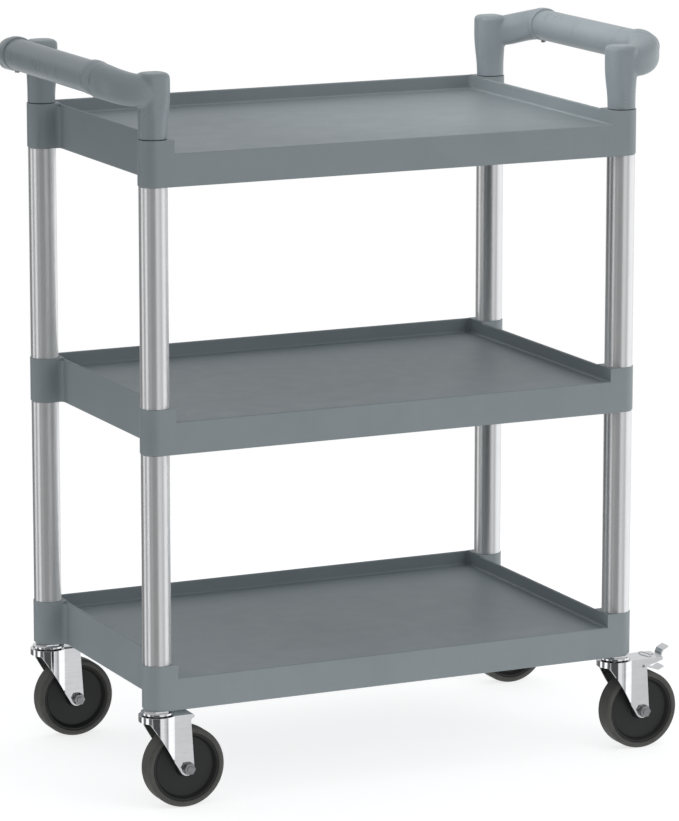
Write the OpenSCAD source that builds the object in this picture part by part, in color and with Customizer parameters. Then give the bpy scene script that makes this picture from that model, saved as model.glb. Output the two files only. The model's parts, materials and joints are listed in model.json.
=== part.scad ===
// Three-shelf food service trolley: moulded trays on round metal posts,
// push handles at both ends, four swivel casters, two of them with brakes.
// Length along X, depth along Y (open tray rims at -Y), height along Z, floor at z = 0.

/* [Frame] */
// Distance between the left and right posts, centre to centre
post_x = 638; // [560:1:760]
// Distance between the front and rear posts, centre to centre
post_y = 364; // [320:1:460]
// Outside diameter of the posts
post_d = 35.5; // [34:0.5:36]
// Wall thickness of the posts
post_wall = 1.5; // [1.2:0.1:2]

/* [Trays] */
// Height of the underside of the bottom tray above the floor
bottom_z = 126.5; // [124:0.5:128]
// Length of the posts between the bottom and middle trays
lower_post_h = 263; // [200:1:340]
// Length of the posts between the middle and top trays
upper_post_h = 271; // [200:1:340]
// Overall height of one tray at its corner sockets
tray_h = 57.2; // [52:0.2:66]
// Depth of the tray basin, from the socket tops down to the deck
basin_d = 18.5; // [12:0.5:24]
// Wall thickness of the tray moulding
tray_t = 3.5; // [3:0.1:4]

/* [Handles] */
// Distance of the grip axis outboard of the posts
grip_out = 52; // [48:1:60]
// Height of the grip axis above the top tray's sockets
grip_up = 70; // [66:1:80]
// Diameter of the grip
grip_d = 40; // [38:0.5:42]

/* [Casters] */
// Wheel diameter over the tyre
wheel_d = 102; // [98:1:103]
// Width of the tyre
tyre_w = 26; // [22:0.5:26]
// Distance of the wheel axle behind the swivel axis
trail = 33.5; // [32:0.5:35]

/* [Hidden] */
$fn = 96;
// Shifts the model so that its outline is centred on the origin
shift_x = -5.25;
// Corner sockets of the trays
socket_r = 18.7;
bore_r = 16.3;
post_r = post_d/2;
plug_r = 16.2;
hx = post_x/2 - 17;          // outer face of the end walls
hxi = hx - tray_t;           // inner face of the end walls
hy = post_y/2 + socket_r;    // outer face of the front and back walls
deck_z = tray_h - basin_d;   // top of the deck
rim_z = deck_z + 2;          // top of the low front rim
// Levels
z1 = bottom_z;
z1t = z1 + tray_h;
z2 = z1t + lower_post_h;
z2t = z2 + tray_h;
z3 = z2t + upper_post_h;
z3t = z3 + tray_h;
grip_z = z3t + grip_up;
grip_r = grip_d/2;
// Handle elbows
arm_r = 20.8;
arm_drop = 10.8;
arm_a = atan(arm_drop/grip_out);
arm_R = grip_out/cos(arm_a);
arm_z = grip_z - arm_drop;
collar_r = grip_r + 2;
collar_y = arm_R + 5;
// Casters
ax_z = wheel_d/2;
head_r = 23.5;               // round head of the fork
leg_y = 17.5;                // outer face of the fork legs
fork_t = 2.5;
head_z = 119.5;              // top of the fork's head
axle_r = 4;
bush_r = 6;
pin_r = 6;                   // kingpin and threaded stem
// Brake pivot, from the swivel axis
bp_x = 33;
bp_z = 110;

tray_grey = [0.47, 0.50, 0.51];
handle_grey = [0.55, 0.59, 0.61];
metal = [0.82, 0.82, 0.83];
bright = [0.9, 0.9, 0.9];
steel = [0.62, 0.62, 0.64];
black = [0.12, 0.12, 0.12];
tyre_grey = [0.3, 0.29, 0.28];

// ---------- placement ----------
module at_post(sx, sy) translate([shift_x + sx*post_x/2, sy*post_y/2, 0]) children();
module at_all() for (sx = [-1, 1], sy = [-1, 1]) at_post(sx, sy) children();
module along_y(y) translate([0, y, 0]) rotate([-90, 0, 0]) children();

// ---------- trays ----------
// Upright wall in section: x across the wall, y up; full round at the top, fillet to the deck
module wall_section(h, fil) {
    polygon([[1, 0], [tray_t, 0], [tray_t, h - tray_t/2], [0, h - tray_t/2], [0, 1]]);
    translate([tray_t/2, h - tray_t/2]) circle(r = tray_t/2);
    if (fil > 0) translate([tray_t - 0.01, deck_z - 0.01]) difference() {
        square(fil);
        translate([fil, fil]) circle(r = fil);
    }
}
module end_wall() // at +X, running along Y
    translate([hx, hy - 2, 0]) rotate([90, 0, 0]) linear_extrude(2*hy - 4) mirror([1, 0]) wall_section(tray_h - 0.8, 3);
module back_wall()
    translate([-post_x/2, hy, 0]) rotate([90, 0, 90]) linear_extrude(post_x) mirror([1, 0]) wall_section(tray_h, 3);
module front_wall()
    translate([-post_x/2, -hy, 0]) rotate([90, 0, 90]) linear_extrude(post_x) wall_section(rim_z, 0);
module corner_block(sy, c) { // at the +X end; carries the socket; c: chamfer at its foot
    bx = post_x/2 - hxi;
    translate([post_x/2, sy*post_y/2, 0]) {
        cylinder(r1 = socket_r - c, r2 = socket_r, h = c);
        translate([0, 0, c - 0.01]) cylinder(r = socket_r, h = tray_h - c + 0.01);
        translate([-bx, -socket_r, 1]) cube([bx, 2*socket_r, tray_h - 1]);
        translate([-bx, -socket_r + 1, 0]) cube([bx, 2*socket_r - 2, 1.01]);
        // fillet between the block and the end wall, on the side that faces the middle
        translate([-bx + tray_t - 0.01, -sy*(socket_r - 0.01), 0.5]) mirror([0, sy > 0 ? 1 : 0, 0]) linear_extrude(tray_h - 3.5) difference() {
            square(7);
            translate([7, 7]) circle(r = 7);
        }
    }
}
module tray_ribs() {
    for (y = [-120, -40, 40, 120]) translate([-hxi - 1, y - 1.25, deck_z - tray_t - 10]) cube([2*hxi + 2, 2.5, 10.1]);
    for (x = [-200, -100, 0, 100, 200]) translate([x - 1.25, -hy + 1, deck_z - tray_t - 10]) cube([2.5, 2*hy - 2, 10.1]);
}
module tray(z, c) color(tray_grey) translate([shift_x, 0, z]) difference() {
    union() {
        translate([-hxi - 1, -hy + tray_t/2, deck_z - tray_t]) cube([2*hxi + 2, 2*hy - tray_t, tray_t]);
        tray_ribs();
        back_wall();
        front_wall();
        for (m = [0, 1]) mirror([m, 0, 0]) {
            end_wall();
            corner_block(-1, c);
            corner_block(1, c);
            // upright fillet in the rear inner corner
            translate([hxi + 0.01, hy - tray_t + 0.01, deck_z - 0.5]) rotate([0, 0, 180]) linear_extrude(basin_d - 1.5) difference() {
                square(5);
                translate([5, 5]) circle(r = 5);
            }
        }
    }
    for (sx = [-1, 1], sy = [-1, 1]) translate([sx*post_x/2, sy*post_y/2, 0]) {
        translate([0, 0, -1]) cylinder(r = bore_r, h = tray_h + 2);
        translate([0, 0, tray_h/2]) {
            along_y(bore_r - 2) cylinder(r = 1.8, h = 6);
            along_y(17.7) cylinder(r = 4, h = 4);
        }
    }
}

// ---------- posts and their plugs ----------
module post(z, h) color(metal) translate([0, 0, z]) difference() {
    cylinder(r = post_r, h = h);
    translate([0, 0, -1]) cylinder(r = post_r - post_wall, h = h + 2);
}
module screw_hole(z) translate([0, 0, z]) along_y(4) cylinder(r = 1.8, h = 16);
module middle_plug() difference() {
    translate([0, 0, z2 - 40]) {
        translate([0, 0, 2]) cylinder(r = plug_r, h = tray_h + 76);
        cylinder(r1 = plug_r - 1.5, r2 = plug_r, h = 2);
        translate([0, 0, tray_h + 78]) cylinder(r1 = plug_r, r2 = plug_r - 1.5, h = 2);
    }
    translate([0, 0, z2 - 41]) cylinder(r = 12, h = tray_h + 82);
    screw_hole(z2 + tray_h/2);
}
module bottom_plug() difference() {
    translate([0, 0, z1]) {
        cylinder(r = plug_r, h = tray_h + 38);
        translate([0, 0, tray_h + 38]) cylinder(r1 = plug_r, r2 = plug_r - 1.5, h = 2);
    }
    translate([0, 0, z1 - 1]) cylinder(r = 8.05, h = 43);
    translate([0, 0, z1 + 46]) cylinder(r = 12, h = tray_h);
    translate([0, 0, z1 + tray_h/2]) along_y(8.5) cylinder(r = 1.8, h = 12);
}
module stem_insert() translate([0, 0, z1]) difference() {
    cylinder(r = 8, h = 41);
    translate([0, 0, -1]) cylinder(r = pin_r + 0.05, h = 43);
}
// Pan-head screw along Y: seat at y = 0, head outward
module pan_screw(len) {
    along_y(-len) cylinder(r = 1.75, h = len + 0.1);
    along_y(0) difference() {
        cylinder(r1 = 3.6, r2 = 2.6, h = 2.2);
        translate([0, 0, 1.2]) cylinder(r = 1.3, h = 2, $fn = 6);
    }
}

// ---------- handles ----------
// Elbow at +X, +Y: stem on the post axis, arm out to +X that bends into +Y
module elbow_stem_section() {
    polygon([[0, z3t], [17.6, z3t], [21.2, z3t + 52], [21.2, arm_z + 15.2], [15.2, arm_z + 21.2], [0, arm_z + 21.2]]);
    translate([15.2, arm_z + 15.2]) circle(r = 6);
}
module arm_sweep(r) translate([0, 0, arm_z]) rotate([0, -arm_a, 0]) translate([0, arm_R, 0])
    rotate([0, 0, -90]) rotate_extrude(angle = 90) translate([arm_R, 0]) circle(r = r);
module collar_section() polygon([[0, 0], [arm_r - 0.6, 0], [collar_r, 9], [collar_r, 18.5], [collar_r - 1, 19.5], [0, 19.5]]);
module elbow(side) color(handle_grey) difference() { // side: where the socket screw enters, along Y
    union() {
        rotate_extrude() elbow_stem_section();
        arm_sweep(arm_r);
        translate([grip_out, 0, grip_z]) along_y(collar_y - 19.5) rotate_extrude() collar_section();
        translate([grip_out, 0, grip_z]) along_y(collar_y - 14) cylinder(r = grip_r - 3.6, h = 38);
        translate([0, 0, z3 - 38]) cylinder(r = plug_r, h = tray_h + 39);
        translate([0, 0, z3 - 40]) cylinder(r1 = plug_r - 1.5, r2 = plug_r, h = 2.01);
    }
    // cored stem
    translate([0, 0, z3 - 41]) cylinder(r = 12, h = tray_h + 41 + 50);
    // socket for the grip around the inner spigot
    translate([grip_out, 0, grip_z]) along_y(collar_y - 12.5) difference() {
        cylinder(r = grip_r + 0.05, h = 20);
        translate([0, 0, -1]) cylinder(r = grip_r - 3.6, h = 60);
    }
    translate([grip_out, 0, grip_z]) along_y(collar_y - 10) cylinder(r = 12, h = 60);
    // screw holes
    mirror([0, side > 0 ? 0 : 1, 0]) screw_hole(z3 + tray_h/2);
    translate([grip_out, collar_y - 6, grip_z - collar_r - 1]) cylinder(r = 1.8, h = 16);
    translate([grip_out, collar_y - 6, grip_z - collar_r - 3]) cylinder(r = 3.9, h = 4);
}
module place_elbow(sx, sy) at_post(sx, sy) mirror([sx < 0 ? 1 : 0, 0, 0]) mirror([0, sy > 0 ? 1 : 0, 0]) children();
module grip(sx) color(handle_grey) difference() {
    gl = post_y - 2*(collar_y - 12.4);
    translate([shift_x + sx*(post_x/2 + grip_out), -gl/2, grip_z]) rotate([-90, 0, 0]) difference() {
        cylinder(r = grip_r, h = gl);
        translate([0, 0, -1]) cylinder(r = grip_r - 3.5, h = gl + 2);
    }
    for (s = [-1, 1]) translate([shift_x + sx*(post_x/2 + grip_out), s*(post_y/2 - collar_y + 6), grip_z - grip_r - 2]) cylinder(r = 1.8, h = 10);
}

// ---------- casters ----------
module caster_stem() color(steel) {
    translate([0, 0, head_z - 6.2]) cylinder(r = pin_r, h = 6 + z1 + 37 - head_z);
    translate([0, 0, z1 + 37 - 0.2]) cylinder(r1 = pin_r, r2 = pin_r - 1.5, h = 1.5);
    translate([0, 0, head_z - 6.2]) cylinder(r1 = 9.5, r2 = 11, h = 3.3);
}
ball_ring = 14.5;
ball_z = head_z + 0.75;
module groove() translate([0, 0, ball_z]) rotate_extrude() translate([ball_ring, 0]) circle(r = 2.7);
module caster_race() color(bright) difference() {
    union() {
        translate([0, 0, head_z + 1.5]) cylinder(r = 20.5, h = 2.6);
        translate([0, 0, head_z + 4]) cylinder(r = 17.3, h = z1 - head_z - 4, $fn = 6);
    }
    translate([0, 0, head_z]) cylinder(r = pin_r + 0.05, h = 10);
    groove();
}
module caster_ball_ring() for (i = [0:11]) rotate([0, 0, i*30]) translate([ball_ring, 0, ball_z]) sphere(r = 2.4, $fn = 32);
// Plan of the fork: round head running into two flat cheeks
module fork_plan(r, y, x1) {
    circle(r = r);
    translate([0, -y]) square([x1, 2*y]);
}
// Tangent point on the tip circle, seen from the front foot of the skirt
fk_p = [-16, head_z - 8];
tip_r = 9.5;
fk_c = [trail - 1.2, ax_z];
fk_v = fk_c - fk_p;
fk_d = norm(fk_v);
fk_a = atan2(fk_v[1], fk_v[0]) - asin(tip_r/fk_d);
fk_t = fk_p + sqrt(fk_d*fk_d - tip_r*tip_r)*[cos(fk_a), sin(fk_a)];
module fork_side(brake) {
    if (brake) polygon([[-30, head_z], [-30, fk_p[1]], fk_p, fk_t, fk_c, fk_c + [tip_r, 0], [trail + 4.5, head_z - 9.5],
        [48, head_z - 7.4], [61, head_z - 3.6], [61, head_z]]);
    else {
        polygon([[-30, head_z], [-30, fk_p[1]], fk_p, fk_t, fk_c, fk_c + [tip_r, 0], [trail + 4.5, head_z - 9.5],
            [trail + 4.8, head_z - 7], [trail + 5.6, head_z - 5.4], [trail + 6.6, head_z - 5.2], [trail + 6.6, head_z]]);
        translate([trail + 6.4, head_z - 2.6]) circle(r = 2.6);
    }
    translate(fk_c) circle(r = tip_r);
}
module fork(brake) color(bright) difference() {
    x1 = brake ? 61 : 42.5;
    intersection() {
        union() {
            translate([0, 0, 30]) linear_extrude(head_z - 30) difference() {
                fork_plan(head_r, leg_y, x1);
                circle(r = head_r - fork_t);
                translate([0, -(leg_y - fork_t)]) square([x1 + 1, 2*(leg_y - fork_t)]);
            }
            translate([0, 0, head_z - fork_t]) linear_extrude(fork_t) fork_plan(head_r - 0.01, leg_y - 0.01, x1);
        }
        translate([0, 30, 0]) rotate([90, 0, 0]) linear_extrude(60) fork_side(brake);
    }
    translate([0, 0, head_z - 5]) cylinder(r = pin_r + 0.06, h = 10);
    groove();
    translate([trail, 0, ax_z]) along_y(-30) cylinder(r = axle_r + 0.05, h = 60);
    if (brake) {
        translate([41.5, 0, head_z - 5]) cylinder(r = 3, h = 10);
        translate([53, 0, head_z - 5]) cylinder(r = 3.6, h = 10);
        translate([bp_x, 0, bp_z]) along_y(-30) cylinder(r = 2.05, h = 60);
    }
}
module axle_bolt() color(steel) translate([trail, 0, ax_z]) {
    along_y(-leg_y - 7.6) cylinder(r = axle_r, h = 2*leg_y + 7.6);
    along_y(leg_y) cylinder(r = 7.5, h = 5.3, $fn = 6);
}
module axle_nut() color(steel) translate([trail, 0, ax_z]) difference() {
    union() {
        along_y(-leg_y - 6.8) cylinder(r = 7.5, h = 5.4, $fn = 6);
        along_y(-leg_y - 1.41) cylinder(r = 8.2, h = 1.41);
    }
    along_y(-leg_y - 9) cylinder(r = axle_r + 0.05, h = 12);
}
module spacer() color(steel) translate([trail, 0, ax_z]) difference() {
    along_y(-leg_y + fork_t) cylinder(r = bush_r, h = 2*(leg_y - fork_t));
    along_y(-30) cylinder(r = axle_r + 0.05, h = 60);
}
core_r = wheel_d/2 - 7.5;
// Half section of the wheel centre: hub, recessed disc and sloped rim
module core_section() difference() {
    translate([0, 9]) polygon([[0, -14.2], [11, -14.2], [13, -5.5], [37.5, -5.5], [41, -11.4], [core_r, -11.4],
        [core_r, 11.4], [41, 11.4], [37.5, 5.5], [13, 5.5], [11, 14.2], [0, 14.2]]);
    translate([-1, -20]) square([1 + bush_r + 0.06, 60]);
}
module wheel_core() color(black) translate([trail, 0, ax_z]) along_y(-9) rotate_extrude() core_section();
module tyre_section() {
    w = tyre_w/2;
    ro = wheel_d/2;
    difference() {
        translate([core_r, -w]) square([ro - core_r, 2*w]);
        for (s = [-1, 1]) difference() {
            translate([ro - 4, s > 0 ? w - 4 : -w]) square([4.1, 4]);
            translate([ro - 4, s*(w - 4)]) circle(r = 4);
        }
        for (s = [-1, 1]) translate([core_r, s*w]) rotate([0, 0, 45]) square(1.6, center = true);
    }
}
module tyre() color(tyre_grey) translate([trail, 0, ax_z]) rotate([-90, 0, 0]) rotate_extrude() tyre_section();

// ---------- brakes ----------
// Bent strip of thickness 2.2 from point to point, in X and Z
function strip_n(a, b) = let (v = b - a, l = norm(v)) [-v[1], v[0]]*1.1/l;
module strip(p) for (i = [0 : len(p) - 2]) {
    n = strip_n(p[i], p[i + 1]);
    polygon([p[i] + n, p[i + 1] + n, p[i + 1] - n, p[i] - n]);
    if (i > 0) translate(p[i]) circle(r = 1.1);
}
up = [[bp_x, bp_z + 1], [59.5, bp_z + 2.4], [63.2, bp_z + 6.4], [64.4, head_z + 2.5], [66.4, head_z + 6.6], [74.3, head_z + 10.6]];
dn = [[bp_x + 2, bp_z - 1.5], [41, bp_z - 2.6], [54, 103.1], [60, 101], [67.6, 104.4]];
module brake_lever() color(bright) difference() {
    rotate([90, 0, 0]) {
        translate([0, 0, -8]) linear_extrude(16) { strip(up); strip(dn); }
        translate([0, 0, -14.6]) linear_extrude(29.2) translate([bp_x, bp_z]) circle(r = 3.9);
    }
    translate([bp_x, 0, bp_z]) along_y(-30) cylinder(r = 2.06, h = 60);
}
module brake_pin() color(steel) translate([bp_x, 0, bp_z]) along_y(-leg_y) cylinder(r = 2, h = 2*leg_y);

// ---------- sub-parts ----------
module bottom_tray() tray(z1, 2.6);
module middle_tray() tray(z2, 1.5);
module top_tray() tray(z3, 1.5);
module lower_post_fl() at_post(-1, -1) post(z1t, lower_post_h);
module lower_post_fr() at_post(1, -1) post(z1t, lower_post_h);
module lower_post_rl() at_post(-1, 1) post(z1t, lower_post_h);
module lower_post_rr() at_post(1, 1) post(z1t, lower_post_h);
module upper_post_fl() at_post(-1, -1) post(z2t, upper_post_h);
module upper_post_fr() at_post(1, -1) post(z2t, upper_post_h);
module upper_post_rl() at_post(-1, 1) post(z2t, upper_post_h);
module upper_post_rr() at_post(1, 1) post(z2t, upper_post_h);
module bottom_post_plugs() color(black) at_all() bottom_plug();
module middle_post_plugs() color(black) at_all() middle_plug();
module stem_inserts() color(steel) at_all() stem_insert();
module socket_screws() color(steel) at_all() for (z = [z1, z2, z3]) translate([0, 17.7, z + tray_h/2]) pan_screw(z == z1 ? 8.5 : 5.4);
module handle_elbow_fl() place_elbow(-1, -1) elbow(1);
module handle_elbow_fr() place_elbow(1, -1) elbow(1);
module handle_elbow_rl() place_elbow(-1, 1) elbow(-1);
module handle_elbow_rr() place_elbow(1, 1) elbow(-1);
module left_handle_grip() grip(-1);
module right_handle_grip() grip(1);
module handle_screws() color(steel) for (sx = [-1, 1], sy = [-1, 1]) place_elbow(sx, sy) translate([grip_out, collar_y - 6, grip_z - collar_r + 1]) rotate([-90, 0, 0]) pan_screw(8.5);
module caster_balls() color(steel) at_all() caster_ball_ring();
module caster_fl_stem() at_post(-1, -1) caster_stem();
module caster_fl_race() at_post(-1, -1) caster_race();
module caster_fl_fork() at_post(-1, -1) fork(false);
module caster_fl_axle_bolt() at_post(-1, -1) axle_bolt();
module caster_fl_axle_nut() at_post(-1, -1) axle_nut();
module caster_fl_spacer() at_post(-1, -1) spacer();
module caster_fl_wheel_core() at_post(-1, -1) wheel_core();
module caster_fl_tyre() at_post(-1, -1) tyre();
module caster_fr_stem() at_post(1, -1) caster_stem();
module caster_fr_race() at_post(1, -1) caster_race();
module caster_fr_fork() at_post(1, -1) fork(true);
module caster_fr_axle_bolt() at_post(1, -1) axle_bolt();
module caster_fr_axle_nut() at_post(1, -1) axle_nut();
module caster_fr_spacer() at_post(1, -1) spacer();
module caster_fr_wheel_core() at_post(1, -1) wheel_core();
module caster_fr_tyre() at_post(1, -1) tyre();
module caster_rl_stem() at_post(-1, 1) caster_stem();
module caster_rl_race() at_post(-1, 1) caster_race();
module caster_rl_fork() at_post(-1, 1) fork(false);
module caster_rl_axle_bolt() at_post(-1, 1) axle_bolt();
module caster_rl_axle_nut() at_post(-1, 1) axle_nut();
module caster_rl_spacer() at_post(-1, 1) spacer();
module caster_rl_wheel_core() at_post(-1, 1) wheel_core();
module caster_rl_tyre() at_post(-1, 1) tyre();
module caster_rr_stem() at_post(1, 1) caster_stem();
module caster_rr_race() at_post(1, 1) caster_race();
module caster_rr_fork() at_post(1, 1) fork(true);
module caster_rr_axle_bolt() at_post(1, 1) axle_bolt();
module caster_rr_axle_nut() at_post(1, 1) axle_nut();
module caster_rr_spacer() at_post(1, 1) spacer();
module caster_rr_wheel_core() at_post(1, 1) wheel_core();
module caster_rr_tyre() at_post(1, 1) tyre();
module brake_fr_lever() at_post(1, -1) brake_lever();
module brake_fr_pin() at_post(1, -1) brake_pin();
module brake_rr_lever() at_post(1, 1) brake_lever();
module brake_rr_pin() at_post(1, 1) brake_pin();

bottom_tray();
middle_tray();
top_tray();
lower_post_fl();
lower_post_fr();
lower_post_rl();
lower_post_rr();
upper_post_fl();
upper_post_fr();
upper_post_rl();
upper_post_rr();
bottom_post_plugs();
middle_post_plugs();
stem_inserts();
socket_screws();
handle_elbow_fl();
handle_elbow_fr();
handle_elbow_rl();
handle_elbow_rr();
left_handle_grip();
right_handle_grip();
handle_screws();
caster_balls();
caster_fl_stem();
caster_fl_race();
caster_fl_fork();
caster_fl_axle_bolt();
caster_fl_axle_nut();
caster_fl_spacer();
caster_fl_wheel_core();
caster_fl_tyre();
caster_fr_stem();
caster_fr_race();
caster_fr_fork();
caster_fr_axle_bolt();
caster_fr_axle_nut();
caster_fr_spacer();
caster_fr_wheel_core();
caster_fr_tyre();
caster_rl_stem();
caster_rl_race();
caster_rl_fork();
caster_rl_axle_bolt();
caster_rl_axle_nut();
caster_rl_spacer();
caster_rl_wheel_core();
caster_rl_tyre();
caster_rr_stem();
caster_rr_race();
caster_rr_fork();
caster_rr_axle_bolt();
caster_rr_axle_nut();
caster_rr_spacer();
caster_rr_wheel_core();
caster_rr_tyre();
brake_fr_lever();
brake_fr_pin();
brake_rr_lever();
brake_rr_pin();
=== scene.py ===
import json
import math
import bpy, bmesh
from mathutils import Vector, Matrix


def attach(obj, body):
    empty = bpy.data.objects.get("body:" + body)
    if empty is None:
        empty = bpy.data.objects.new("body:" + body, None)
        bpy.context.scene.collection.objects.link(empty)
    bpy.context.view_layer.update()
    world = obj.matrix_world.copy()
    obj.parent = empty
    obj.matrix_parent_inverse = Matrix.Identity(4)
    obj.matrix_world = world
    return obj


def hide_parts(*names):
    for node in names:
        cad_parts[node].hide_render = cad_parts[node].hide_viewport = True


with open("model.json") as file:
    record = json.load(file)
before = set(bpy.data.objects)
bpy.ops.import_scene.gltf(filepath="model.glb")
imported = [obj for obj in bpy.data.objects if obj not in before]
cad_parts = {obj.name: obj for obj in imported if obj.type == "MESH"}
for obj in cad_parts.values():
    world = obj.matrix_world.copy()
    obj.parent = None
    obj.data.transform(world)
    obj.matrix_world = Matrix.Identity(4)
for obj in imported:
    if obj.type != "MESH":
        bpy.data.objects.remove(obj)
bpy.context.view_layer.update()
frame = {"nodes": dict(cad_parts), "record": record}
nodes = frame["nodes"]
scene = bpy.context.scene
MM = 0.001
CORNERS = {"fl": (-1, -1), "fr": (1, -1), "rl": (-1, 1), "rr": (1, 1)}

# ---------------------------------------------------------------- camera
cam_data = bpy.data.cameras.new("camera")
cam = bpy.data.objects.new("camera", cam_data)
scene.collection.objects.link(cam)
cam.location = (-2.4405, -5.2341, 1.6123)
cam.rotation_euler = (math.radians(90 - 11.4858), 0, math.radians(-25.071))
cam_data.lens = 4606.0 / 821 * 36
cam_data.sensor_width = 36
cam_data.clip_start, cam_data.clip_end = 0.05, 100
scene.camera = cam
scene.view_settings.view_transform = "Standard"
scene.view_settings.look = "None"

# ---------------------------------------------------------------- node helpers
class Tree:
    """Small helper for building a node tree."""
    def __init__(self, owner):
        owner.use_nodes = True
        self.t = owner.node_tree
        self.t.nodes.clear()

    def node(self, kind, **props):
        n = self.t.nodes.new(kind)
        for k, v in props.items():
            setattr(n, k, v)
        return n

    def link(self, a, b):
        self.t.links.new(a, b)

    def math(self, op, a, b=None, clamp=False):
        n = self.node("ShaderNodeMath", operation=op, use_clamp=clamp)
        for i, v in enumerate((a, b)):
            if v is None:
                continue
            if isinstance(v, (int, float)):
                n.inputs[i].default_value = v
            else:
                self.link(v, n.inputs[i])
        return n.outputs[0]

    def maprange(self, v, a, b, c, d, smooth=False):
        n = self.node("ShaderNodeMapRange", interpolation_type="SMOOTHSTEP" if smooth else "LINEAR")
        self.link(v, n.inputs["Value"])
        for key, x in (("From Min", a), ("From Max", b), ("To Min", c), ("To Max", d)):
            n.inputs[key].default_value = x
        return n.outputs["Result"]

    def noise(self, vec, scale, detail=3.0, rough=0.5, distort=0.0):
        n = self.node("ShaderNodeTexNoise")
        n.inputs["Scale"].default_value = scale
        n.inputs["Detail"].default_value = detail
        n.inputs["Roughness"].default_value = rough
        n.inputs["Distortion"].default_value = distort
        self.link(vec, n.inputs["Vector"])
        return n.outputs["Fac"]

    def scaled(self, vec, s):
        n = self.node("ShaderNodeMapping")
        n.inputs["Scale"].default_value = s
        self.link(vec, n.inputs["Vector"])
        return n.outputs[0]

    def mix(self, fac, a, b, blend="MIX"):
        n = self.node("ShaderNodeMix", data_type="RGBA", blend_type=blend)
        if isinstance(fac, (int, float)):
            n.inputs[0].default_value = fac
        else:
            self.link(fac, n.inputs[0])
        for s, v in ((n.inputs[6], a), (n.inputs[7], b)):
            if isinstance(v, tuple):
                s.default_value = (*v, 1.0)
            else:
                self.link(v, s)
        return n.outputs[2]

    def bump(self, height, dist, strength=1.0, normal=None):
        n = self.node("ShaderNodeBump")
        n.inputs["Strength"].default_value = strength
        n.inputs["Distance"].default_value = dist
        self.link(height, n.inputs["Height"])
        if normal is not None:
            self.link(normal, n.inputs["Normal"])
        return n.outputs[0]


def start(name):
    m = bpy.data.materials.new(name)
    t = Tree(m)
    out = t.node("ShaderNodeOutputMaterial")
    b = t.node("ShaderNodeBsdfPrincipled")
    t.link(b.outputs[0], out.inputs["Surface"])
    pos = t.node("ShaderNodeTexCoord").outputs["Object"]
    return m, t, b, pos


def moulded(name, dark, light, rough, grain_mm, grain_depth, spec=0.5, wave=0.00003):
    """Injection-moulded plastic: pebbled skin, broad flow mottling, faint scuffs."""
    m, t, b, pos = start(name)
    broad = t.noise(pos, 7.0, 2.0, 0.5, 0.4)
    mid = t.noise(t.scaled(pos, (1.0, 1.0, 0.6)), 38.0, 4.0, 0.55)
    fine = t.noise(pos, 1000.0 / grain_mm, 2.0, 0.5)
    v = t.math("ADD", t.math("MULTIPLY", broad, 0.5), t.math("MULTIPLY", mid, 0.3))
    v = t.math("ADD", v, t.math("MULTIPLY", fine, 0.2))
    col = t.mix(t.maprange(v, 0.3, 0.7, 0, 1), dark, light)
    t.link(col, b.inputs["Base Color"])
    r = t.math("ADD", t.maprange(mid, 0.3, 0.7, rough - 0.05, rough + 0.05), t.maprange(fine, 0.3, 0.7, -0.03, 0.03))
    t.link(r, b.inputs["Roughness"])
    b.inputs["Specular IOR Level"].default_value = spec
    n1 = t.bump(mid, wave, 0.5)
    t.link(t.bump(fine, grain_depth, 0.7, n1), b.inputs["Normal"])
    return m


def metal(name, dark, light, rough, streak, smudge=0.04, bump=0.000006):
    """Polished or plated metal: streaks along `streak`, uneven polish, faint smudges."""
    m, t, b, pos = start(name)
    s = t.noise(t.scaled(pos, streak), 1.0, 4.0, 0.6)
    cloud = t.noise(pos, 45.0, 3.0, 0.5, 0.3)
    speck = t.noise(pos, 900.0, 2.0, 0.5)
    col = t.mix(t.maprange(t.math("ADD", t.math("MULTIPLY", s, 0.6), t.math("MULTIPLY", cloud, 0.4)), 0.35, 0.65, 0, 1), dark, light)
    t.link(col, b.inputs["Base Color"])
    b.inputs["Metallic"].default_value = 1.0
    r = t.math("ADD", t.maprange(s, 0.3, 0.7, rough - 0.03, rough + 0.03), t.maprange(cloud, 0.4, 0.75, 0, smudge))
    t.link(r, b.inputs["Roughness"])
    n1 = t.bump(s, bump, 0.5)
    t.link(t.bump(speck, bump, 0.4, n1), b.inputs["Normal"])
    return m


def drawn_tube(name, dark, light, rough, aniso):
    """Drawn tube: fine lines along it, so that reflections stay sharp round the tube and smear along it."""
    m, t, b, pos = start(name)
    fine = t.noise(t.scaled(pos, (1500, 1500, 3)), 1.0, 3.0, 0.6)
    broad = t.noise(t.scaled(pos, (160, 160, 5)), 1.0, 3.0, 0.5)
    cloud = t.noise(pos, 30.0, 3.0, 0.5, 0.3)
    v = t.math("ADD", t.math("MULTIPLY", fine, 0.35), t.math("MULTIPLY", broad, 0.4))
    v = t.math("ADD", v, t.math("MULTIPLY", cloud, 0.25))
    t.link(t.mix(t.maprange(v, 0.25, 0.75, 0, 1), dark, light), b.inputs["Base Color"])
    b.inputs["Metallic"].default_value = 1.0
    t.link(t.math("ADD", t.maprange(fine, 0.3, 0.7, rough - 0.02, rough + 0.02), t.maprange(cloud, 0.4, 0.75, 0, 0.04)), b.inputs["Roughness"])
    b.inputs["Anisotropic"].default_value = aniso
    b.inputs["Anisotropic Rotation"].default_value = 0.25
    t.link(t.node("ShaderNodeTangent", direction_type="RADIAL", axis="Z").outputs[0], b.inputs["Tangent"])
    t.link(t.bump(cloud, 0.00002, 0.3), b.inputs["Normal"])
    return m


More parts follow.
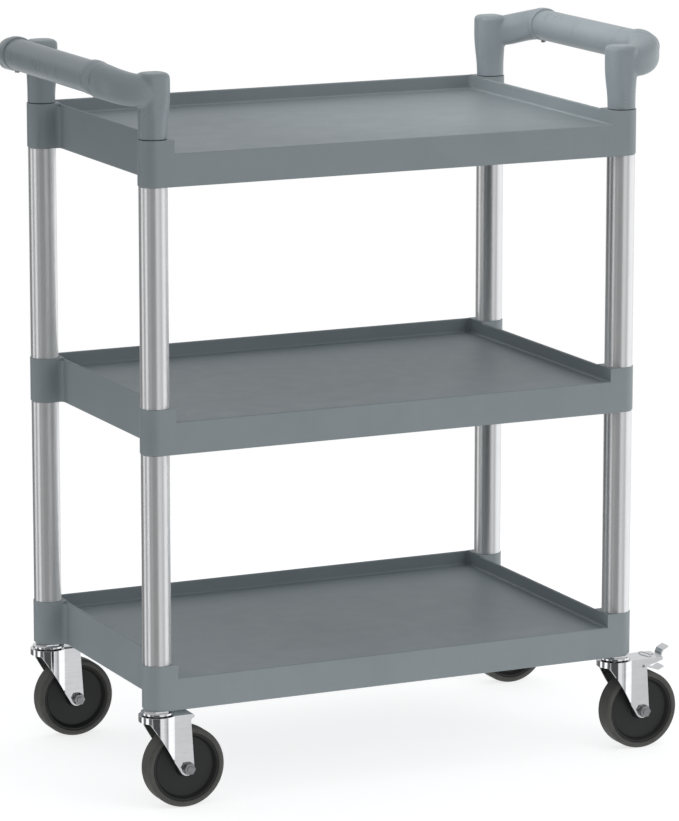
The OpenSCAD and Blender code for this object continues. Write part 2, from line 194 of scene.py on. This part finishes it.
def rubber(name, dark, light, rough):
    m, t, b, pos = start(name)
    blotch = t.noise(pos, 60.0, 4.0, 0.6)
    fine = t.noise(pos, 1400.0, 2.0, 0.5)
    col = t.mix(t.maprange(t.math("ADD", t.math("MULTIPLY", blotch, 0.7), t.math("MULTIPLY", fine, 0.3)), 0.35, 0.65, 0, 1), dark, light)
    t.link(col, b.inputs["Base Color"])
    t.link(t.maprange(blotch, 0.3, 0.7, rough - 0.06, rough + 0.06), b.inputs["Roughness"])
    b.inputs["Specular IOR Level"].default_value = 0.35
    n1 = t.bump(blotch, 0.00008, 0.5)
    t.link(t.bump(fine, 0.00005, 0.6, n1), b.inputs["Normal"])
    return m


M = {
    "tray_plastic": moulded("tray_plastic", (0.228, 0.260, 0.274), (0.262, 0.298, 0.313), 0.44, 1.4, 0.00005),
    "handle_plastic": moulded("handle_plastic", (0.243, 0.279, 0.297), (0.283, 0.324, 0.345), 0.31, 1.1, 0.000012, 0.5, 0.000006),
    "plug_plastic": moulded("plug_plastic", (0.02, 0.02, 0.021), (0.035, 0.035, 0.036), 0.5, 1.2, 0.00003),
    "hub_plastic": moulded("hub_plastic", (0.012, 0.012, 0.012), (0.022, 0.022, 0.022), 0.42, 1.0, 0.00004, 0.4),
    "post_metal": drawn_tube("post_metal", (0.82, 0.812, 0.81), (0.89, 0.882, 0.88), 0.40, 0.92),
    "bright_plate": metal("bright_plate", (0.80, 0.80, 0.81), (0.88, 0.88, 0.89), 0.07, (30, 30, 240), 0.05, 0.000006),
    "plain_steel": metal("plain_steel", (0.26, 0.26, 0.27), (0.40, 0.40, 0.41), 0.20, (160, 160, 160), 0.1, 0.00001),
    "tyre_rubber": rubber("tyre_rubber", (0.066, 0.065, 0.060), (0.088, 0.087, 0.081), 0.58),
}
slots = {s["node"]: s["material_slot"] for s in frame["record"]["subparts"]}
for name, o in nodes.items():
    m = M[slots[name]]
    for i in range(len(o.material_slots)):
        o.material_slots[i].link = "OBJECT"
        o.material_slots[i].material = m

# ---------------------------------------------------------------- shaping helpers
S = -0.00525


def smoothstep(x):
    x = min(1.0, max(0.0, x))
    return x * x * (3 - 2 * x)


def new_object(name, bm, material, smooth=True):
    me = bpy.data.meshes.new(name)
    bmesh.ops.recalc_face_normals(bm, faces=bm.faces)
    bm.to_mesh(me)
    bm.free()
    o = bpy.data.objects.new(name, me)
    scene.collection.objects.link(o)
    me.materials.append(material)
    if smooth:
        for p in me.polygons:
            p.use_smooth = True
        me.set_sharp_from_angle(angle=math.radians(38))
    return o


def rings_to_mesh(bm, rings, cap=True):
    rows = [[bm.verts.new(p) for p in ring] for ring in rings]
    n = len(rows[0])
    for a, b in zip(rows, rows[1:]):
        for i in range(n):
            bm.faces.new((a[i], a[(i + 1) % n], b[(i + 1) % n], b[i]))
    if cap:
        bm.faces.new(rows[0][::-1])
        bm.faces.new(rows[-1])


def apply_modifiers(o):
    dg = bpy.context.evaluated_depsgraph_get()
    me = bpy.data.meshes.new_from_object(o.evaluated_get(dg))
    old = o.data
    o.modifiers.clear()
    o.data = me
    bpy.data.meshes.remove(old)


def voxel(o, size, smooth_iter, factor=0.5):
    m = o.modifiers.new("remesh", "REMESH")
    m.mode = "VOXEL"
    m.voxel_size = size
    m.use_smooth_shade = True
    if smooth_iter:
        s = o.modifiers.new("smooth", "SMOOTH")
        s.factor = factor
        s.iterations = smooth_iter
    apply_modifiers(o)


def polish(name, width, segs=3, angle=35):
    """Rounds a CAD node's sharp edges; the node's own mesh stays as it is."""
    o = nodes[name]
    w = o.modifiers.new("weld", "WELD")
    w.merge_threshold = 0.00001
    d = o.modifiers.new("flat", "DECIMATE")
    d.decimate_type = "DISSOLVE"
    d.angle_limit = math.radians(0.6)
    b = o.modifiers.new("round", "BEVEL")
    b.width = width
    b.segments = segs
    b.limit_method = "ANGLE"
    b.angle_limit = math.radians(angle)
    b.use_clamp_overlap = True
    n = o.modifiers.new("shade", "WEIGHTED_NORMAL")
    n.weight = 50
    n.keep_sharp = False


# ---------------------------------------------------------------- handle elbows
Z3T, GRIP_Z = 0.8321, 0.9021
ARM_A = math.atan(10.8 / 52.0)
ARM_R = 0.052 / math.cos(ARM_A)
ARM_Z = GRIP_Z - 0.0108
COLLAR_Y = ARM_R + 0.005


def squircle(cx, cy, z, w, n, count=72):
    pts = []
    for i in range(count):
        a = 2 * math.pi * i / count
        c, s = math.cos(a), math.sin(a)
        k = (abs(c) ** n + abs(s) ** n) ** (-1.0 / n)
        pts.append(Vector((cx + w * k * c, cy + w * k * s, z)))
    return pts


def stem_ring(z, shrink=0.0, n=None, count=72):
    """The stem leans out on the inboard side as it rises, and squares up under the head."""
    k = smoothstep((z - Z3T) / 0.052)
    return squircle(-0.0013 * k, 0, z, 0.0176 + 0.0013 * k - shrink, 2.0 + 0.8 * smoothstep((z - 0.846) / 0.045) if n is None else n, count)


def elbow_mesh():
    """Local frame: post axis at x = y = 0, +X outboard, +Y towards the middle of the handle."""
    top = ARM_Z + 0.0211
    bm = bmesh.new()
    rings = []
    z = Z3T - 0.004
    while z < top - 0.0062:
        rings.append(stem_ring(z))
        z += 0.002
    for i in range(9):
        a = math.pi / 2 * i / 8
        rings.append(stem_ring(top - 0.006 + 0.006 * math.sin(a), 0.006 - 0.006 * math.cos(a)))
    rings_to_mesh(bm, rings)
    tube = []
    for i in range(-3, 34):
        phi = math.radians(90) * i / 30
        rise = 0.0108 * smoothstep((math.degrees(phi) - 12) / 72.0)
        c = Vector((0.052 * math.sin(phi), ARM_R * (1 - math.cos(phi)), ARM_Z + rise))
        tan = Vector((math.cos(phi), math.sin(phi), 0))
        if i < 0:
            c, tan = Vector((0.052 * math.radians(90) * i / 30, 0, ARM_Z)), Vector((1, 0, 0))
        if i > 30:
            c, tan = Vector((0.052, ARM_R + 0.0012 * (i - 30), GRIP_Z)), Vector((0, 1, 0))
        side = Vector((0, 0, 1)).cross(tan).normalized()
        up = tan.cross(side)
        square = 1.0 - smoothstep((math.degrees(phi) - 68) / 20.0)
        ring = []
        for k in range(64):
            b = 2 * math.pi * k / 64
            cb, sb = math.cos(b), math.sin(b)
            n = 2.0 + (1.7 if sb < 0 else 0.5) * square
            q = (abs(cb) ** n + abs(sb) ** n) ** (-1.0 / n)
            r = 0.0184 + 0.0018 * smoothstep(math.degrees(phi) / 40.0) if i > -3 else 0.012
            ring.append(c + side * (r * q * cb) + up * (r * q * sb))
        tube.append(ring)
    rings_to_mesh(bm, tube)
    o = new_object("elbow_body", bm, M["handle_plastic"])
    voxel(o, 0.0012, 10)
    # collar, then a finer pass that keeps its mouth crisp
    bm = bmesh.new()
    bm.from_mesh(o.data)
    prof = [(0.0186, 0.030), (0.0203, 0.0385), (0.0215, 0.0440), (0.0220, 0.0490), (0.0220, 0.0572), (0.0212, 0.0581)]
    rings_to_mesh(bm, [[Vector((0.052 + r * math.cos(b), y - 0.0581 + COLLAR_Y, GRIP_Z + 0.0008 + (r - 0.0006) * math.sin(b))) for b in (2 * math.pi * k / 96 for k in range(96))] for r, y in prof])
    bmesh.ops.recalc_face_normals(bm, faces=bm.faces)
    bm.to_mesh(o.data)
    bm.free()
    voxel(o, 0.0008, 3)
    bm = bmesh.new()
    bm.from_mesh(o.data)
    bpy.data.objects.remove(o)
    # clean foot: cut just above the socket, then add the foot and spigot
    geom = bm.verts[:] + bm.edges[:] + bm.faces[:]
    r = bmesh.ops.bisect_plane(bm, geom=geom, plane_co=(0, 0, Z3T + 0.0010), plane_no=(0, 0, 1), clear_inner=True)
    edges = [e for e in r["geom_cut"] if isinstance(e, bmesh.types.BMEdge)]
    bmesh.ops.contextual_create(bm, geom=edges)
    foot = [(0.01745, Z3T + 0.0016), (0.0175, Z3T), (0.0162, Z3T), (0.0162, Z3T - 0.030)]
    rings_to_mesh(bm, [squircle(0, 0, z, w, 2.0, 96) for w, z in foot])
    bmesh.ops.recalc_face_normals(bm, faces=bm.faces)
    return bm


def place_elbows():
    bm = elbow_mesh()
    master = bpy.data.meshes.new("elbow_master")
    bm.to_mesh(master)
    bm.free()
    # counterbore for the grip screw, under the collar
    hole = bmesh.new()
    rings_to_mesh(hole, [[Vector((0.052 + 0.0039 * math.cos(b), COLLAR_Y - 0.006 + 0.0039 * math.sin(b), z)) for b in (2 * math.pi * k / 32 for k in range(32))] for z in (GRIP_Z - 0.030, GRIP_Z - 0.0210)])
    cutter = new_object("cutter", hole, M["handle_plastic"], False)
    tmp = bpy.data.objects.new("elbow_tmp", master)
    scene.collection.objects.link(tmp)
    b = tmp.modifiers.new("hole", "BOOLEAN")
    b.operation, b.object, b.solver = "DIFFERENCE", cutter, "EXACT"
    apply_modifiers(tmp)
    base = bmesh.new()
    base.from_mesh(tmp.data)
    for o in (tmp, cutter):
        bpy.data.objects.remove(o)
    for key, (sx, sy) in CORNERS.items():
        c = base.copy()
        for v in c.verts:
            x, y, z = v.co
            v.co = Vector((S + sx * (0.319 + x), sy * (0.182 - y), z))
        o = new_object("elbow_skin_" + key, c, M["handle_plastic"])
        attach(o, "trolley")
        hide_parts("handle_elbow_" + key)
    base.free()


place_elbows()

for n in ("bottom_tray", "middle_tray", "top_tray"):
    polish(n, 0.0008, 3)
for n in ("left_handle_grip", "right_handle_grip"):
    polish(n, 0.0003, 2, 40)
for k in CORNERS:
    polish("caster_%s_fork" % k, 0.0005, 3)
    polish("caster_%s_race" % k, 0.0004, 2)
    polish("caster_%s_axle_nut" % k, 0.0004, 2, 28)
    polish("caster_%s_axle_bolt" % k, 0.0004, 2, 28)
    polish("caster_%s_wheel_core" % k, 0.0007, 3, 25)
    polish("caster_%s_tyre" % k, 0.0007, 3, 25)
    for p in ("lower", "upper"):
        polish("%s_post_%s" % (p, k), 0.0003, 2)
for k in ("fr", "rr"):
    polish("brake_%s_lever" % k, 0.0004, 2)

# ---------------------------------------------------------------- flat springs on the braked top plates
def spring_strip(key):
    """A bent strip that lies across the top plate between its two holes."""
    sx, sy = CORNERS[key]
    px, py = S + sx * 0.319, sy * 0.182
    a, b = Vector((0.0435, 0.0150, 0)), Vector((0.0500, -0.0075, 0))
    along = (b - a).normalized()
    across = Vector((-along.y, along.x, 0))
    n = 14
    bm = bmesh.new()
    rows = []
    for i in range(n + 1):
        f = i / n
        base = a.lerp(b, f)
        arch = 0.0014 * smoothstep(min(f, 1 - f) / 0.22) + 0.0002
        w = 0.0015 - 0.0004 * smoothstep((0.12 - min(f, 1 - f)) / 0.12)
        z = 0.1196 + arch
        c = 0.00025
        rows.append([base + across * u + Vector((px, py, z + v)) for u, v in (
            (-w, c), (-w, 0.0009 - c), (-w + c, 0.0009), (w - c, 0.0009), (w, 0.0009 - c), (w, c), (w - c, 0), (-w + c, 0))])
    rings_to_mesh(bm, rows)
    o = new_object("brake_%s_spring_strip" % key, bm, M["bright_plate"])
    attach(o, "swivel_" + key)


for k in ("fr", "rr"):
    spring_strip(k)

# ---------------------------------------------------------------- studio
def studio_world():
    w = bpy.data.worlds.new("studio")
    scene.world = w
    t = Tree(w)
    out = t.node("ShaderNodeOutputWorld")
    xyz = t.node("ShaderNodeSeparateXYZ")
    t.link(t.node("ShaderNodeTexCoord").outputs["Generated"], xyz.inputs[0])
    x, y, z = xyz.outputs
    a = t.math("ARCTAN2", x, t.math("MULTIPLY", y, -1.0))
    u = t.math("ADD", t.math("DIVIDE", a, 2 * math.pi), 0.5)
    # softboxes and flags round the object; angles are measured from 25 degrees left of the front
    bands = [(-154, 0.80), (-146, 0.32), (-134, 0.17), (-110, 0.17), (-104, 1.60), (-93, 1.60), (-87, 0.20), (-72, 0.20),
             (-67, 1.55), (-53, 1.55), (-48, 0.20), (-32, 0.15), (-29, 0.60), (-26, 0.60), (-23, 0.10), (18, 0.10), (23, 1.10),
             (43, 1.10), (47, 0.86), (57, 0.80), (61, 0.56), (71, 0.56), (77, 1.50), (126, 1.50), (150, 1.15), (180, 0.95), (206, 0.80)]
    ramp = t.node("ShaderNodeValToRGB")
    ramp.color_ramp.interpolation = "LINEAR"
    e = ramp.color_ramp.elements
    while len(e) > 1:
        e.remove(e[0])
    for i, (r, v) in enumerate(bands):
        p = 0.4306 + r / 360.0
        q = e[0] if i == 0 else e.new(min(1.0, max(0.0, p)))
        if i == 0:
            q.position = max(0.0, p)
        q.color = (v * 0.975, v * 0.995, v * 1.01, 1)
    t.link(u, ramp.inputs[0])
    # softer version of the same surround for the higher part of the room
    broad = t.node("ShaderNodeValToRGB")
    broad.color_ramp.interpolation = "EASE"
    e = broad.color_ramp.elements
    while len(e) > 1:
        e.remove(e[0])
    for i, (p, v) in enumerate([(0.0, 0.80), (0.12, 0.80), (0.27, 0.78), (0.37, 0.50), (0.46, 0.46), (0.55, 0.80), (0.70, 1.0), (0.88, 0.92), (1.0, 0.80)]):
        q = e[0] if i == 0 else e.new(p)
        q.position = p
        q.color = (v * 0.975, v * 0.995, v * 1.01, 1)
    t.link(u, broad.inputs[0])
    side = t.mix(t.maprange(z, 0.02, 0.30, 0, 1, True), ramp.outputs[0], broad.outputs[0])
    side = t.mix(t.maprange(z, 0.35, 0.85, 0, 1, True), side, (0.80, 0.82, 0.835))
    side = t.mix(t.maprange(z, -0.80, -0.34, 1, 0, True), side, (0.92, 0.93, 0.94))
    bg = t.node("ShaderNodeBackground")
    bg.inputs["Strength"].default_value = 0.80
    t.link(side, bg.inputs["Color"])
    white = t.node("ShaderNodeBackground")
    white.inputs["Color"].default_value = (1, 1, 1, 1)
    white.inputs["Strength"].default_value = 1.0
    mixs = t.node("ShaderNodeMixShader")
    t.link(t.node("ShaderNodeLightPath").outputs["Is Camera Ray"], mixs.inputs[0])
    t.link(bg.outputs[0], mixs.inputs[1])
    t.link(white.outputs[0], mixs.inputs[2])
    t.link(mixs.outputs[0], out.inputs[0])


studio_world()


def area(name, loc, target, size, size_y, power, spread=180, glossy=True):
    d = bpy.data.lights.new(name, "AREA")
    d.shape = "RECTANGLE"
    d.size, d.size_y = size, size_y
    d.energy = power
    d.spread = math.radians(spread)
    o = bpy.data.objects.new(name, d)
    scene.collection.objects.link(o)
    o.visible_glossy = glossy
    o.location = loc
    o.rotation_euler = (Vector(target) - Vector(loc)).to_track_quat("-Z", "Y").to_euler()
    return o


area("overhead", (0.1, -0.1, 3.0), (0, 0, 0), 3.0, 3.0, 1.5)
area("front_fill", (1.7, -3.0, 1.9), (0, 0, 0.5), 1.6, 1.2, 15, 180, False)
area("handle_light", (-0.22, -0.10, 1.30), (0.40, 0.0, 0.92), 0.35, 0.45, 0.62, 60, False)

# floor: a pale round sheet, lit through from below so that shadows on it stay faint
bm = bmesh.new()
bmesh.ops.create_circle(bm, cap_ends=True, radius=1.35, segments=128)
me = bpy.data.meshes.new("floor")
bm.to_mesh(me)
bm.free()
floor = bpy.data.objects.new("floor", me)
scene.collection.objects.link(floor)
fm, ft, fb, fpos = start("floor_paper")
ft.link(ft.mix(ft.noise(fpos, 3.0, 3.0, 0.5), (0.46, 0.46, 0.46), (0.50, 0.50, 0.50)), fb.inputs["Base Color"])
fb.inputs["Roughness"].default_value = 0.8
fb.inputs["Specular IOR Level"].default_value = 0.0
fb.inputs["Emission Color"].default_value = (1, 1, 1, 1)
fb.inputs["Emission Strength"].default_value = 0.74
me.materials.append(fm)
floor.visible_glossy = False
